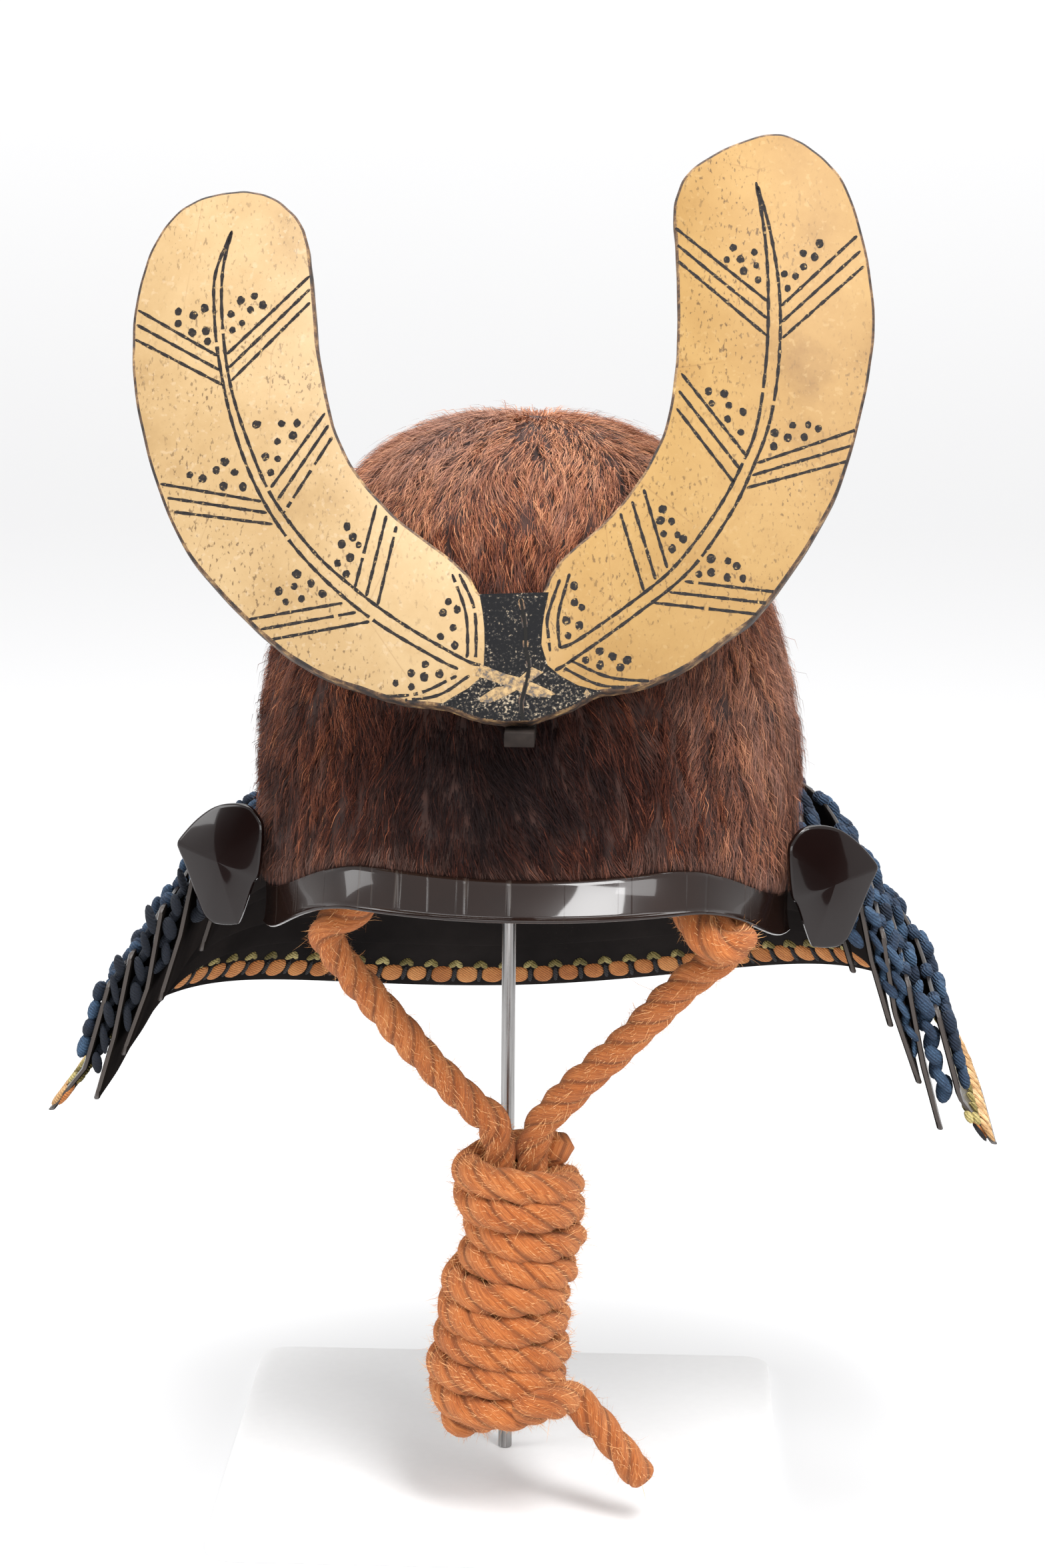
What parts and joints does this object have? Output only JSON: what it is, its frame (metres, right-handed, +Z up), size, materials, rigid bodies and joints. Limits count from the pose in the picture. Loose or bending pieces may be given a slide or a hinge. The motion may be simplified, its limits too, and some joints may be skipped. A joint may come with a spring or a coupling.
{
  "type": "kabuto samurai helmet on a display stand",
  "caption": "Tall fur-covered samurai helmet with a crossed-feather gold crest, lacquered peak, laced flaring neck guard and wound rope chin cord, on a plain rod stand.",
  "frame": {"origin": "centre of the underside of the stand's base plate", "axes": "+Z up, the helmet faces -Y, and the wearer's left side is +X"},
  "size_m": [0.3666, 0.3389, 0.5301],
  "materials": {
    "white_steel": "matt white paint on steel plate",
    "steel": "polished round steel rod",
    "black_iron": "dark patinated iron",
    "fur": "short red-brown animal fur lying downwards",
    "lacquer": "polished black-brown lacquer over iron plate",
    "navy_lace": "navy braided silk lace",
    "orange_lace": "orange braided silk with gold and green knots",
    "gold_lacquer": "worn gold lacquer with black painted lines on wood",
    "orange_rope": "fuzzy three-strand twisted orange cord"
  },
  "bodies": {
    "root": {"stand_base": "white_steel", "stand_rod": "steel", "stand_pad": "steel", "bowl": "black_iron", "fur_cover": "fur", "peak": "lacquer", "lame_1": "lacquer", "lame_2": "lacquer", "lame_3": "lacquer", "lame_4": "lacquer", "lame_5": "lacquer", "lacing_1": "navy_lace", "lacing_2": "navy_lace", "lacing_3": "navy_lace", "lacing_4": "navy_lace", "lacing_5": "navy_lace", "lacing_6": "navy_lace", "lacing_7": "navy_lace", "lacing_8": "navy_lace", "lacing_9": "navy_lace", "lacing_10": "navy_lace", "lacing_11": "navy_lace", "lacing_12": "navy_lace", "lacing_13": "navy_lace", "lacing_14": "navy_lace", "lacing_15": "navy_lace", "lacing_16": "navy_lace", "lacing_17": "navy_lace", "edge_lacing_outside": "orange_lace", "edge_lacing_inside": "orange_lace", "crest": "gold_lacquer", "crest_post": "black_iron", "cord_ring_right": "black_iron", "cord_ring_left": "black_iron", "chin_cord_right": "orange_rope", "chin_cord_left": "orange_rope", "chin_cord_end": "orange_rope", "chin_knot": "orange_rope"}
  },
  "joints": []
}
